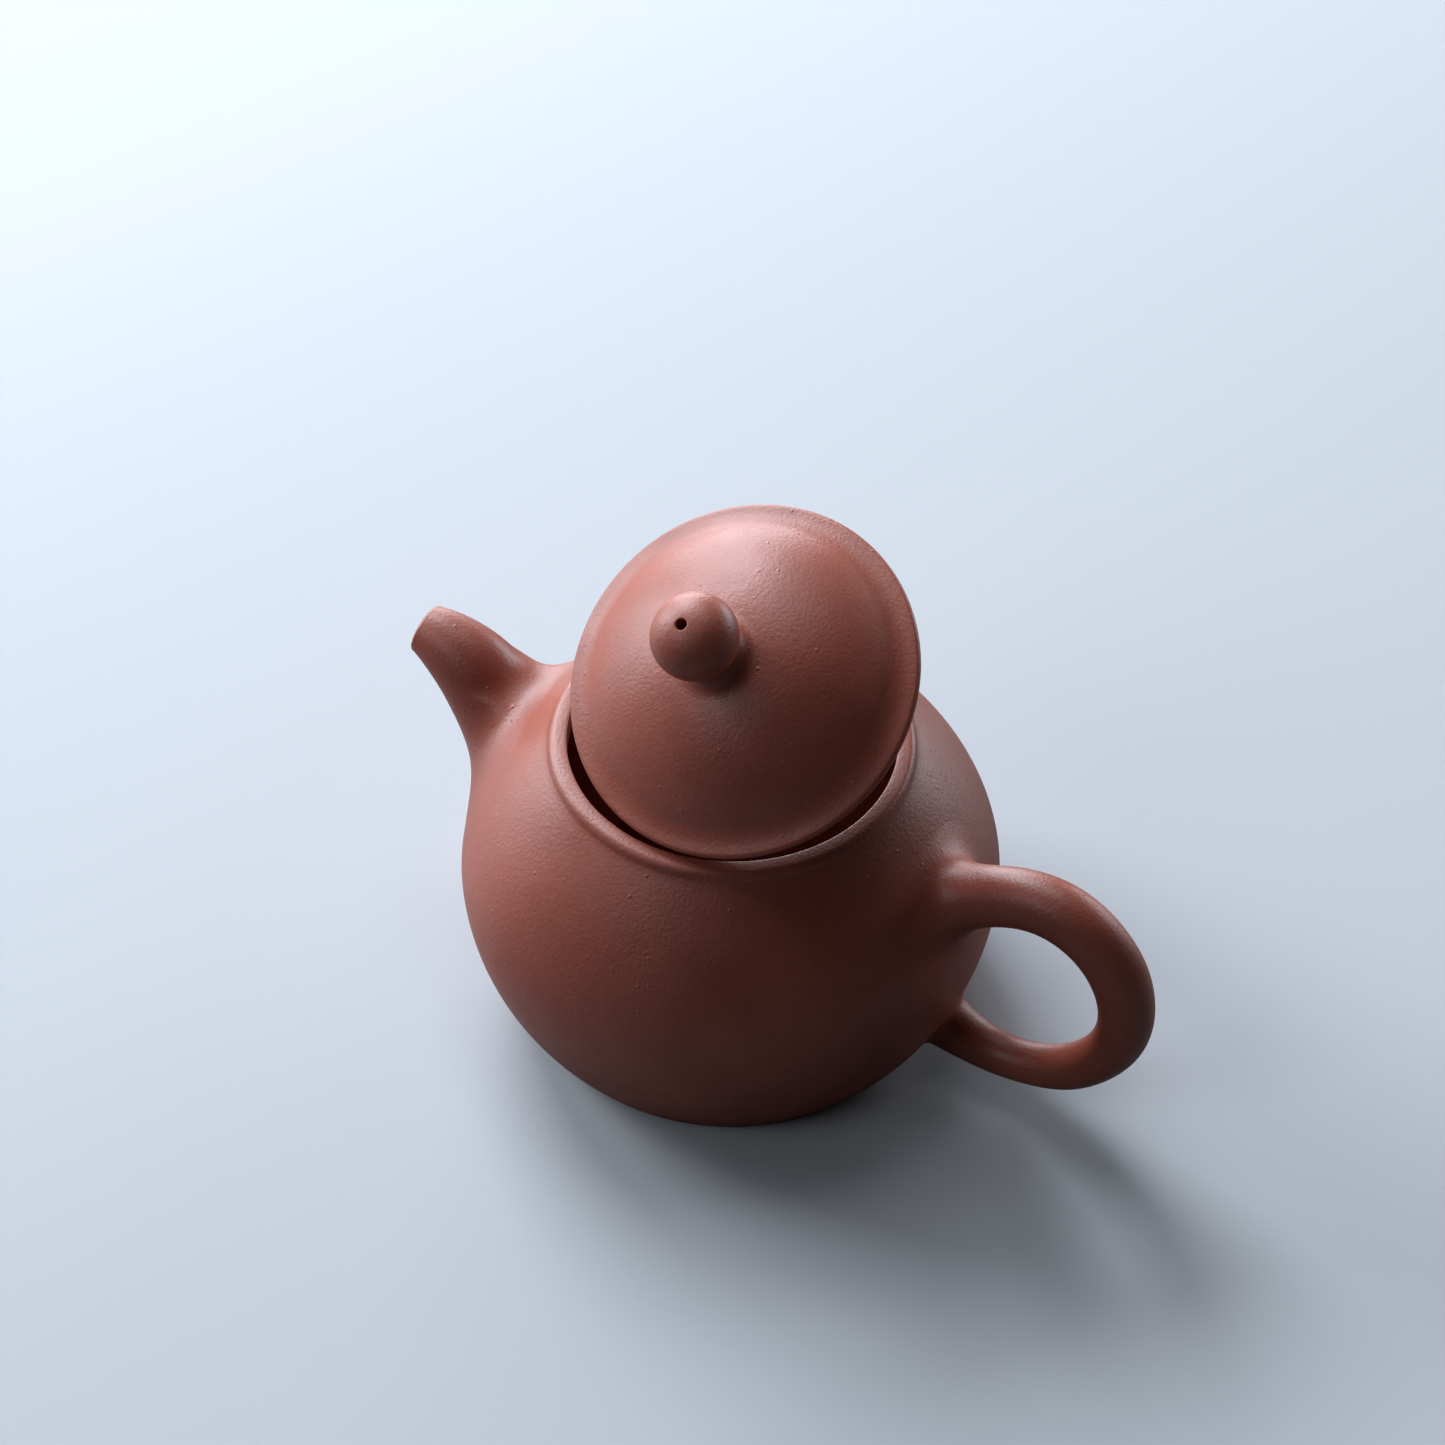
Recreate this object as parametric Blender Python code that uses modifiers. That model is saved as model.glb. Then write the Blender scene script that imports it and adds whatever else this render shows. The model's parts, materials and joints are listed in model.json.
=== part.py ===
"""Yixing clay teapot: a squat round pot with a loose domed lid, tipped open on the lip.

Units are metres, +Z is up.  The origin is the centre of the flat base on the table.
+X points towards the handle, -X towards the spout.

The pot is built up from clay pieces luted together with slip, and the lid from three
more.  Neighbouring pieces keep a joint gap of 0.3 mm.
"""
import math

import bmesh
import bpy
from mathutils import Matrix, Vector

MM = 0.001

# ---- driving dimensions, in millimetres -------------------------------------------------
JOINT_GAP = 0.3          # slip joint between luted pieces, and lid to lip
TURN_STEPS = 48          # facets around a turned piece

BELLY_R = 40.0           # widest radius of the body
BELLY_Z = 23.8           # height of the widest circle
BASE_R = 32.0            # radius of the flat base
BASE_T = 3.0             # thickness of the base disc
FOOT_ROUND = 0.6         # rounding of the foot edge
FOOT_LIP = 0.4           # how far the foot edge stands out
GROOVE_R = 26.7          # soft groove under the mouth ring
GROOVE_Z = 48.3
SHOULDER_POWER = 1.8     # fullness of the curve from belly to groove
WALL_T = 2.6             # clay thickness of the body
WALL_TOP_Z = 44.4        # where the wall stops and the closing disc starts

MOUTH_R = 23.65          # radius of the mouth opening
MOUTH_Z = 50.0           # flat top of the mouth ring
MOUTH_FLAT_R = 25.3      # outer edge of the flat top
MOUTH_ROUND = 1.1        # rounded outer side of the mouth ring
MOUTH_BEVEL = 0.3        # bevel on the inner edge of the mouth

LID_R = 25.6             # lid brim radius, at mid thickness
LID_HALF_T = 0.75        # half the brim thickness, also its edge radius
DOME_H = 12.2            # height of the dome above the brim's mid plane
DOME_T = 2.3             # clay thickness of the dome
DOME_INSIDE = 1.04       # the hollow under the dome is narrower than the dome by this
COVE_R = 5.0             # hollow sweep between dome and brim
COVE_END_R = 24.3        # where the sweep runs out on the flat brim
COLLAR_R = 22.85         # locating collar, outside radius
COLLAR_T = 1.9
COLLAR_H = 3.5
COLLAR_BEVEL = 0.5
VENT_R = 0.8             # air hole through knob and dome
KNOB_R = 6.05            # bead radius
KNOB_CROWN = 5.2         # height of the bead above its widest circle
KNOB_Z = 19.6            # bead centre above the brim's mid plane
NECK_R = 3.5             # narrowest part of the neck
NECK_Z = 14.3            # height of the narrowest part
NECK_FOOT_R = 5.8        # neck flare on the dome

LID_CENTRE = (2.76, -2.36, 65.0)     # brim centre of the tipped lid
LID_TILT_DEG = 32.74                 # tilt of the lid from level
LID_LEAN_DEG = -99.1                 # compass direction in which the lid leans down

# spout: distance from the pot's axis, height and tube radius
SPOUT_STATIONS = (
    (31.5, 26.5, 12.0),
    (36.4, 31.2, 11.2),
    (40.5, 36.1, 8.9),
    (43.4, 39.6, 7.3),
    (46.6, 42.6, 5.9),
    (50.0, 44.9, 4.7),
    (52.4, 46.0, 3.9),
)
SPOUT_BORE_TIP_R = 2.6
SPOUT_BORE_ROOT_R = 5.4
SPOUT_BORE_TAPER = 0.7   # power: below 1 the bore narrows fastest near its root
SPOUT_BORE_PAST = 3.0    # how far the bore's cutter runs past the tip

STRAINER_R = 6.6         # ball strainer behind the spout, outside radius
STRAINER_T = 1.0
STRAINER_RIM = 0.3        # rim height above the middle of the wall
STRAINER_HOLE_R = 0.7
STRAINER_RING = 6        # holes around the middle one
STRAINER_TILT_DEG = 36.0  # from the middle hole to the ring of holes
PORT_R = 6.9             # hole in the wall that the strainer sits in
PORT_Z = 32.2
PORT_CUT = 14.0          # length of the cutter for the port
HOLE_CUT = 4.0           # length of the cutters for the strainer's holes

# handle: distance from the pot's axis, height and tube radius
HANDLE_STATIONS = (
    (31.0, 36.0, 5.2),
    (38.0, 38.1, 4.7),
    (45.5, 41.0, 4.35),
    (52.4, 41.7, 4.3),
    (58.9, 38.1, 4.25),
    (62.9, 31.8, 4.15),
    (63.8, 24.5, 3.95),
    (61.2, 15.0, 3.6),
    (55.8, 8.8, 3.42),
    (48.6, 5.9, 3.18),
    (42.0, 6.6, 3.3),
    (33.5, 10.6, 3.9),
)

CLAY = (0.315, 0.115, 0.08)
CLAY_ROUGHNESS = 0.5


# ---- scene helpers ----------------------------------------------------------------------
def clear_scene():
    for obj in list(bpy.data.objects):
        bpy.data.objects.remove(obj, do_unlink=True)


def make_collection(name):
    col = bpy.data.collections.new(name)
    bpy.context.scene.collection.children.link(col)
    return col


def clay_material(name, shade):
    mat = bpy.data.materials.new(name)
    mat.use_nodes = True
    bsdf = mat.node_tree.nodes["Principled BSDF"]
    red, green, blue = (c * shade for c in CLAY)
    bsdf.inputs["Base Color"].default_value = (red, green, blue, 1.0)
    bsdf.inputs["Roughness"].default_value = CLAY_ROUGHNESS
    bsdf.inputs["Metallic"].default_value = 0.0
    mat.diffuse_color = (red, green, blue, 1.0)
    return mat


def link(obj, col, mat=None):
    col.objects.link(obj)
    if mat is not None:
        obj.data.materials.append(mat)
    return obj


def smooth(mesh):
    mesh.shade_smooth()
    mesh.set_sharp_from_angle(angle=math.radians(40.0))


def turned(name, profile, col, mat=None, closed=True, steps=TURN_STEPS):
    """Turned solid from (radius, height) points that run down the outer side."""
    mesh = bpy.data.meshes.new(name)
    bm = bmesh.new()
    verts = [bm.verts.new((r * MM, 0.0, z * MM)) for r, z in profile]
    for first, second in zip(verts, verts[1:]):
        bm.edges.new((first, second))
    if closed:
        bm.edges.new((verts[-1], verts[0]))
    bm.to_mesh(mesh)
    bm.free()
    obj = link(bpy.data.objects.new(name, mesh), col, mat)
    screw = obj.modifiers.new("Turn", "SCREW")
    screw.axis = "Z"
    screw.angle = math.tau
    screw.steps = steps
    screw.render_steps = steps
    screw.use_merge_vertices = True
    screw.merge_threshold = 0.00001
    screw.use_smooth_shade = True
    return obj


def cut(obj, cutter, name):
    mod = obj.modifiers.new(name, "BOOLEAN")
    mod.operation = "DIFFERENCE"
    mod.solver = "EXACT"
    mod.object = cutter


def as_cutter(obj):
    obj.hide_render = True
    obj.display_type = "WIRE"
    return obj


def swept(name, stations, col, mat=None, side=1.0, resolution=4, ring=5):
    """Tube along (distance, height, radius) stations in the XZ plane, as a closed mesh."""
    curve = bpy.data.curves.new(name + "_path", "CURVE")
    curve.dimensions = "3D"
    curve.resolution_u = resolution
    curve.bevel_depth = MM
    curve.bevel_resolution = ring
    curve.use_fill_caps = True
    spline = curve.splines.new("NURBS")
    spline.points.add(len(stations) - 1)
    for point, (dist, height, radius) in zip(spline.points, stations):
        point.co = (side * dist * MM, 0.0, height * MM, 1.0)
        point.radius = radius
    spline.order_u = 3
    spline.use_endpoint_u = True
    path = link(bpy.data.objects.new(name + "_path", curve), col)
    bpy.context.view_layer.update()
    graph = bpy.context.evaluated_depsgraph_get()
    mesh = bpy.data.meshes.new_from_object(path.evaluated_get(graph))
    mesh.name = name
    bm = bmesh.new()
    bm.from_mesh(mesh)
    bmesh.ops.remove_doubles(bm, verts=bm.verts, dist=0.00001)
    bmesh.ops.recalc_face_normals(bm, faces=bm.faces)
    bm.to_mesh(mesh)
    bm.free()
    mesh.materials.clear()
    obj = link(bpy.data.objects.new(name, mesh), col, mat)
    obj.matrix_world = path.matrix_world
    bpy.data.objects.remove(path, do_unlink=True)
    smooth(mesh)
    return obj


# ---- shape of the pot -------------------------------------------------------------------
def body_radius(z):
    """Outer radius of the body at height z."""
    if z < BELLY_Z:
        return BELLY_R - (BELLY_R - BASE_R) * ((BELLY_Z - z) / BELLY_Z) ** 2
    rise = (z - BELLY_Z) / (GROOVE_Z - BELLY_Z)
    return BELLY_R - (BELLY_R - GROOVE_R) * rise ** SHOULDER_POWER


def body_slope(z, step=0.05):
    return (body_radius(z + step) - body_radius(z - step)) / (2.0 * step)


def body_curve(z_low, z_high, count, inset=0.0):
    """Points down the body's surface from z_high to z_low, moved inwards by inset."""
    points = []
    for i in range(count):
        z = z_high + (z_low - z_high) * i / (count - 1)
        slope = body_slope(z)
        scale = inset / math.hypot(1.0, slope)
        points.append((body_radius(z) - scale, z + slope * scale))
    return points


def quarter(centre_r, centre_z, radius, start_deg, end_deg, count=4):
    """Arc points around a centre; 0 degrees points outwards and 90 degrees up."""
    points = []
    for i in range(count):
        a = math.radians(start_deg + (end_deg - start_deg) * i / (count - 1))
        points.append((centre_r + radius * math.cos(a), centre_z + radius * math.sin(a)))
    return points


def make_pot(col, cutters):
    wall_low = BASE_T + JOINT_GAP
    disc_low = WALL_TOP_Z + JOINT_GAP
    ring_low = GROOVE_Z + JOINT_GAP

    rim = body_curve(0.0, GROOVE_Z + 0.2, 30, inset=-JOINT_GAP)
    envelope = as_cutter(turned("body_envelope", [(0.0, rim[0][1])] + rim + [(0.0, 0.0)],
                                cutters, closed=False, steps=96))

    base_edge = body_curve(FOOT_ROUND, BASE_T, 4)
    foot = quarter(BASE_R - FOOT_ROUND + FOOT_LIP, FOOT_ROUND, FOOT_ROUND, -20.0, -90.0, 4)
    turned("base_disc", [(0.0, BASE_T)] + base_edge + foot + [(0.0, 0.0)],
           col, clay_material("base_disc", 0.98), closed=False)

    outer = body_curve(wall_low, WALL_TOP_Z, 12)
    inner = [(r, z) for r, z in body_curve(wall_low, WALL_TOP_Z, 9, inset=WALL_T)
             if wall_low + 0.5 < z < WALL_TOP_Z - 0.5]
    seat_low = (body_radius(wall_low) - WALL_T, wall_low)
    seat_high = (body_radius(WALL_TOP_Z) - WALL_T * 1.3, WALL_TOP_Z)
    wall = turned("body_wall", outer + [seat_low] + inner[::-1] + [seat_high],
                  col, clay_material("body_wall", 1.0))

    under = GROOVE_Z - WALL_T
    top = body_curve(disc_low, GROOVE_Z, 4)
    turned("closing_disc",
           top + [(body_radius(disc_low) - WALL_T * 1.3, disc_low),
                  (MOUTH_R + 1.2, under), (MOUTH_R, under + 0.6), (MOUTH_R, GROOVE_Z)],
           col, clay_material("closing_disc", 1.0))

    side = quarter(MOUTH_FLAT_R, MOUTH_Z - MOUTH_ROUND, MOUTH_ROUND, 90.0, 0.0, 5)
    turned("mouth_ring",
           side + [(MOUTH_FLAT_R + MOUTH_ROUND, ring_low), (MOUTH_R, ring_low),
                   (MOUTH_R, MOUTH_Z - MOUTH_BEVEL), (MOUTH_R + MOUTH_BEVEL, MOUTH_Z)],
           col, clay_material("mouth_ring", 1.02))

    spout = swept("spout", SPOUT_STATIONS, col, clay_material("spout", 1.0),
                  side=-1.0, resolution=3, ring=6)
    cut(spout, envelope, "Seat on body")
    span = len(SPOUT_STATIONS) - 1
    bore = []
    for i, (dist, height, _) in enumerate(SPOUT_STATIONS):
        share = (i / span) ** SPOUT_BORE_TAPER
        radius = SPOUT_BORE_ROOT_R + (SPOUT_BORE_TIP_R - SPOUT_BORE_ROOT_R) * share
        bore.append((dist, height, radius))
    tip, last = Vector(bore[-1][:2]), Vector(bore[-2][:2])
    beyond = tip + (tip - last).normalized() * SPOUT_BORE_PAST
    bore.append((beyond.x, beyond.y, SPOUT_BORE_TIP_R))
    channel = as_cutter(swept("spout_channel", bore, cutters, side=-1.0,
                              resolution=3, ring=4))
    cut(spout, channel, "Channel")

    port_axis = Vector((-1.0, 0.0, -body_slope(PORT_Z))).normalized()
    surface = Vector((-body_radius(PORT_Z), 0.0, PORT_Z))
    port_mid = surface - port_axis * WALL_T * 0.5
    turn = port_axis.to_track_quat("Z", "Y").to_matrix().to_4x4()
    place = Matrix.Translation(port_mid * MM) @ turn

    bpy.ops.mesh.primitive_cylinder_add(vertices=32, radius=PORT_R * MM,
                                        depth=PORT_CUT * MM)
    port = bpy.context.object
    port.name = "wall_port"
    move_to(port, cutters)
    port.matrix_world = place
    cut(wall, as_cutter(port), "Spout port")

    make_strainer(col, cutters, place)

    handle = swept("handle", HANDLE_STATIONS, col, clay_material("handle", 1.0),
                   resolution=3, ring=5)
    cut(handle, envelope, "Seat on body")


def move_to(obj, col):
    for old in list(obj.users_collection):
        old.objects.unlink(obj)
    col.objects.link(obj)


def make_strainer(col, cutters, place):
    """Ball strainer: a pierced clay dome that bulges from the wall into the pot."""
    outer = quarter(0.0, 0.0, STRAINER_R, 0.0, -90.0, 6)
    inner = quarter(0.0, 0.0, STRAINER_R - STRAINER_T, -90.0, 0.0, 5)
    profile = [(STRAINER_R, STRAINER_RIM)] + outer[:-1] + [(0.0, -STRAINER_R)]
    back = [(0.0, -STRAINER_R + STRAINER_T)] + inner[1:]
    back.append((STRAINER_R - STRAINER_T, STRAINER_RIM))
    strainer = turned("strainer", profile + back, col,
                      clay_material("strainer", 0.95), steps=24)
    strainer.matrix_world = place

    tilts = [(0.0, 0.0)]
    for i in range(STRAINER_RING):
        tilts.append((STRAINER_TILT_DEG, 360.0 * i / STRAINER_RING))
    for i, (tilt, spin) in enumerate(tilts):
        bpy.ops.mesh.primitive_cylinder_add(vertices=10, radius=STRAINER_HOLE_R * MM,
                                            depth=HOLE_CUT * MM)
        pin = bpy.context.object
        pin.name = f"strainer_pin_{i}"
        move_to(pin, cutters)
        aim = Matrix.Rotation(math.radians(spin), 4, "Z")
        aim = aim @ Matrix.Rotation(math.radians(tilt), 4, "X")
        reach = Matrix.Translation((0.0, 0.0, -(STRAINER_R - STRAINER_T * 0.5) * MM))
        pin.matrix_world = place @ aim @ reach
        cut(strainer, as_cutter(pin), f"Hole {i}")


# ---- the lid ----------------------------------------------------------------------------
def lid_top(r):
    """Height of the lid's upper surface above the brim's mid plane: a round dome, then a
    hollow sweep that meets both the dome and the flat brim without a corner."""
    rise = DOME_H - LID_HALF_T
    dome_r = (COVE_END_R ** 2 + rise ** 2) / (2.0 * rise) - COVE_R
    if r < COVE_END_R * dome_r / (dome_r + COVE_R):
        return DOME_H - dome_r + math.sqrt(dome_r ** 2 - r ** 2)
    if r < COVE_END_R:
        return LID_HALF_T + COVE_R - math.sqrt(COVE_R ** 2 - (COVE_END_R - r) ** 2)
    return LID_HALF_T


def lid_hinge(seat_z):
    """Axis, angle and a point of the turn that carries the seated lid to its tipped place."""
    up = Vector((0.0, 0.0, 1.0))
    tilt = math.radians(LID_TILT_DEG)
    lean = math.radians(LID_LEAN_DEG)
    normal = Vector((math.sin(tilt) * math.cos(lean), math.sin(tilt) * math.sin(lean),
                     math.cos(tilt)))
    travel = Vector(LID_CENTRE) - Vector((0.0, 0.0, seat_z))
    level = up.cross(normal).normalized()
    halfway = (up + normal).normalized()
    pitch = math.atan2(-travel.dot(level), travel.dot(halfway))
    axis = level * math.cos(pitch) + halfway * math.sin(pitch)
    flat_up = up - axis * up.dot(axis)
    flat_normal = normal - axis * normal.dot(axis)
    angle = flat_up.angle(flat_normal)
    middle = Vector((0.0, 0.0, seat_z)) + travel * 0.5
    aside = axis.cross(travel).normalized()
    point = middle + aside * (travel.length * 0.5 / math.tan(angle * 0.5))
    return axis, angle, point


def make_lid(col):
    seat_z = MOUTH_Z + JOINT_GAP + LID_HALF_T
    axis, angle, point = lid_hinge(seat_z)
    hinge = bpy.data.objects.new("lid_hinge", None)
    col.objects.link(hinge)
    hinge.empty_display_size = 0.02
    hinge.location = point * MM
    hinge.rotation_mode = "AXIS_ANGLE"
    hinge.rotation_axis_angle = (angle, axis.x, axis.y, axis.z)

    radii = [VENT_R + (20.4 - VENT_R) * i / 7 for i in range(8)]
    radii += [21.6, 22.9, COVE_END_R, LID_R - LID_HALF_T]
    top = [(r, lid_top(r)) for r in radii]
    edge = quarter(LID_R - LID_HALF_T, 0.0, LID_HALF_T, 60.0, -90.0, 6)
    inside_r = COLLAR_R - COLLAR_T
    hollow = []
    for i in range(7):
        r = (inside_r - 0.6) + (VENT_R - inside_r + 0.6) * i / 6
        hollow.append((r, max(lid_top(r * DOME_INSIDE) - DOME_T, -LID_HALF_T)))
    plate = turned("lid_plate", top + edge + [(inside_r, -LID_HALF_T)] + hollow,
                   col, clay_material("lid_plate", 1.0))

    high = -LID_HALF_T - JOINT_GAP
    low = -LID_HALF_T - COLLAR_H
    collar = turned("lid_collar",
                    [(COLLAR_R, high), (COLLAR_R, low + COLLAR_BEVEL),
                     (COLLAR_R - COLLAR_BEVEL, low), (inside_r + COLLAR_BEVEL, low),
                     (inside_r, low + COLLAR_BEVEL), (inside_r, high)],
                    col, clay_material("lid_collar", 0.98))

    crown = [(r, KNOB_Z + (z - KNOB_Z) * KNOB_CROWN / KNOB_R)
             for r, z in quarter(0.0, KNOB_Z, KNOB_R, 80.0, 0.0, 7)]
    bead = crown + quarter(0.0, KNOB_Z, KNOB_R, -16.0, -50.0, 3)
    foot_z = lid_top(NECK_FOOT_R) + JOINT_GAP
    neck = []
    for i in range(5):
        turn = math.radians(22.5 * i)
        neck.append((NECK_R + (NECK_FOOT_R - NECK_R) * (1.0 - math.cos(turn)),
                     NECK_Z + (foot_z - NECK_Z) * math.sin(turn)))
    under = [(r, lid_top(r) + JOINT_GAP) for r in (4.0, 2.4, VENT_R)]
    knob = turned("knob", [(VENT_R, bead[0][1])] + bead + neck + under,
                  col, clay_material("knob", 1.0), steps=24)

    for piece in (plate, collar, knob):
        piece.parent = hinge
        piece.location = (-point.x * MM, -point.y * MM, (seat_z - point.z) * MM)
    return axis, angle, point


def main():
    clear_scene()
    parts = make_collection("yixing_clay_teapot")
    cutters = make_collection("cutters")
    make_pot(parts, cutters)
    axis, angle, point = make_lid(parts)
    print("lid hinge axis", [round(v, 5) for v in axis],
          "through", [round(v * MM, 6) for v in point],
          "seated at", round(-math.degrees(angle), 3))


main()
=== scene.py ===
"""Looks of the clay teapot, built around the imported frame.

Shapes are worked out in millimetres in the frame's own axes and become metres when a mesh
is made.  Turned pieces are lathed from profiles.  The spout and the handle are tubes whose
roots melt into the body, found by looking out from inside the root to the surface of a
softened union of tube and body.
"""
import json
import math

import bmesh
import bpy
import numpy as np
from mathutils import Matrix, Vector


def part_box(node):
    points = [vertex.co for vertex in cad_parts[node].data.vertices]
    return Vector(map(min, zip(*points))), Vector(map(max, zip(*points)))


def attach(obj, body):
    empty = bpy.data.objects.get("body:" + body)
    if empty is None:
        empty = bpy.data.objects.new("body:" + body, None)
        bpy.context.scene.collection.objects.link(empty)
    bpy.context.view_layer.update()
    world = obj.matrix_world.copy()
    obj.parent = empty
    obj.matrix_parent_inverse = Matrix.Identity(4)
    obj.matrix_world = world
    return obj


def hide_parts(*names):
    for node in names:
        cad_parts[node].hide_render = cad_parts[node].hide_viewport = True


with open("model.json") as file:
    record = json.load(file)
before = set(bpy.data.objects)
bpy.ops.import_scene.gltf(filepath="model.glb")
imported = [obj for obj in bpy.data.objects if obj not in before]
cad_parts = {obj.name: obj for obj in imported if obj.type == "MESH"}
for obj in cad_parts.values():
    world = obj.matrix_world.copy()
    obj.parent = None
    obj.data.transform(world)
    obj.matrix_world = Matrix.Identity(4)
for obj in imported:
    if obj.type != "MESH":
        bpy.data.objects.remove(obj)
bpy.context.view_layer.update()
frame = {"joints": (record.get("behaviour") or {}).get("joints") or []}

MM = 0.001


def millimetres(node):
    """Lowest and highest corner of a CAD node, in millimetres."""
    low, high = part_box(node)
    return np.array(low) / MM, np.array(high) / MM


WALL_LOW, WALL_HIGH = millimetres("body_wall")
BASE_LOW, BASE_HIGH = millimetres("base_disc")
RING_LOW, RING_HIGH = millimetres("mouth_ring")

# ---- body, in millimetres ---------------------------------------------------------------
BELLY_R = round(WALL_HIGH[1])         # widest radius
BELLY_Z = 23.8                        # height of the widest circle
BASE_R = 32.0                         # where the body meets the table
BASE_T = round(BASE_HIGH[2])          # thickness of the base disc
GROOVE_R = 26.7                       # soft groove under the mouth ring
GROOVE_Z = 48.3
SHOULDER_POWER = 1.8                  # fullness from belly to groove
WALL_T = 2.6
WALL_TOP_Z = WALL_HIGH[2]             # where the closing disc is luted on
MOUTH_Z = RING_HIGH[2]                # flat top of the mouth ring
MOUTH_R = 23.65                       # radius of the mouth

# ---- spout and handle: distance from the pot's axis, height, tube radius ---------------
SPOUT_STATIONS = (
    (24.0, 20.5, 6.5),
    (31.0, 27.2, 6.8),
    (36.1, 32.5, 6.9),
    (40.2, 37.2, 6.7),
    (43.3, 41.0, 6.3),
    (46.6, 43.6, 5.55),
    (49.8, 45.15, 4.65),
    (52.7, 45.98, 3.75),
)
SPOUT_SOFTNESS = 14.0
SPOUT_SKIRT = (17.0, 21.0, 21.5)      # reach of the root: upwards, sideways, downwards
BORE_TIP_R = 2.6
BORE_ROOT_R = 5.4
LIP_ROUND = 0.6

HANDLE_STATIONS = (
    (24.0, 27.5, 5.1),
    (31.0, 32.2, 4.9),
    (38.0, 36.8, 4.6),
    (43.5, 40.0, 4.35),
    (48.4, 41.7, 4.3),
    (52.4, 41.7, 4.31),
    (55.8, 40.45, 4.28),
    (58.9, 38.1, 4.23),
    (61.7, 34.4, 4.2),
    (63.7, 28.9, 4.08),
    (63.8, 21.5, 3.87),
    (60.8, 14.1, 3.55),
    (56.2, 9.1, 3.42),
    (50.5, 6.4, 3.2),
    (45.4, 5.7, 3.25),
    (41.0, 6.4, 3.6),
    (36.0, 8.3, 4.3),
    (29.0, 11.6, 5.0),
)
UPPER_SOFTNESS = 8.0
UPPER_SKIRT = (11.5, 14.5, 14.5)
LOWER_SOFTNESS = 2.0
LOWER_SKIRT = (8.5, 8.0, 9.0)
FADE_Z = 48.2                         # roots have melted away below the groove
FADE_SPAN = 6.0

# ---- lid: heights are above the middle of the brim's thickness -------------------------
JOINT_GAP = 0.3                       # seated lid to mouth ring
LID_R = 25.6
LID_HALF_T = 0.75
DOME_H = 12.2
DOME_T = 2.3
BRIM_SLOPE_DEG = 17.0                 # the brim falls outwards
COVE_R = 6.2                          # hollow sweep between dome and brim
COVE_END_R = 24.3                     # where the sweep runs out on the brim
COLLAR_R = 22.85
COLLAR_T = 1.9
COLLAR_H = 3.5
VENT_R = 0.78
VENT_ROUND = 0.18
KNOB_R = 6.05
KNOB_Z = 19.6
KNOB_CROWN = 5.2                      # height of the bead above its widest circle
NECK_COVE_R = 2.8                     # radius of the cove between bead and dome

# ---- strainer ---------------------------------------------------------------------------
STRAINER_R = 6.6
STRAINER_T = 1.0
STRAINER_RIM = 0.3
STRAINER_HOLE_R = 0.7
STRAINER_RING = 6
PORT_R = 6.9
PORT_Z = 32.2

TURN_STEPS = 288


# ---- mesh helpers -----------------------------------------------------------------------
def make_piece(name, points, faces, turn=None):
    """Closed mesh object from points in millimetres, with its faces pointing out."""
    mesh = bpy.data.meshes.new(name)
    mesh.from_pydata((np.asarray(points, float) * MM).tolist(), [], faces)
    bm = bmesh.new()
    bm.from_mesh(mesh)
    bmesh.ops.recalc_face_normals(bm, faces=bm.faces)
    bm.to_mesh(mesh)
    bm.free()
    if turn is not None:
        mesh.transform(turn)
    shade(mesh)
    obj = bpy.data.objects.new(name, mesh)
    bpy.context.scene.collection.objects.link(obj)
    return obj


def shade(mesh, sharp_deg=35.0):
    mesh.shade_smooth()
    mesh.set_sharp_from_angle(angle=math.radians(sharp_deg))
    mesh.update()


def ring_faces(first, second, around):
    """Quads between two rings of points that start at these indices."""
    return [(first + i, first + (i + 1) % around, second + (i + 1) % around, second + i)
            for i in range(around)]


def lathe(profile, closed=True, steps=TURN_STEPS):
    """Points and faces of a turned shape.  A closed profile makes a ring; an open one
    starts and ends on the axis."""
    spin = np.linspace(0.0, math.tau, steps, endpoint=False)
    inner = profile if closed else profile[1:-1]
    points = [(r * math.cos(a), r * math.sin(a), z) for r, z in inner for a in spin]
    count = len(inner)
    faces = []
    for i in range(count if closed else count - 1):
        faces += ring_faces(i * steps, ((i + 1) % count) * steps, steps)
    if not closed:
        for pole, ring, flip in ((profile[0], 0, False), (profile[-1], count - 1, True)):
            tip = len(points)
            points.append((0.0, 0.0, pole[1]))
            for i in range(steps):
                pair = (ring * steps + i, ring * steps + (i + 1) % steps)
                faces.append((tip,) + (pair if flip else pair[::-1]))
    return points, faces


def arc(centre, radius, start_deg, end_deg, count):
    """Points on a circle; 0 degrees points outwards and 90 degrees up."""
    angles = np.radians(np.linspace(start_deg, end_deg, count))
    return [(centre[0] + radius * math.cos(a), centre[1] + radius * math.sin(a))
            for a in angles]


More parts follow.
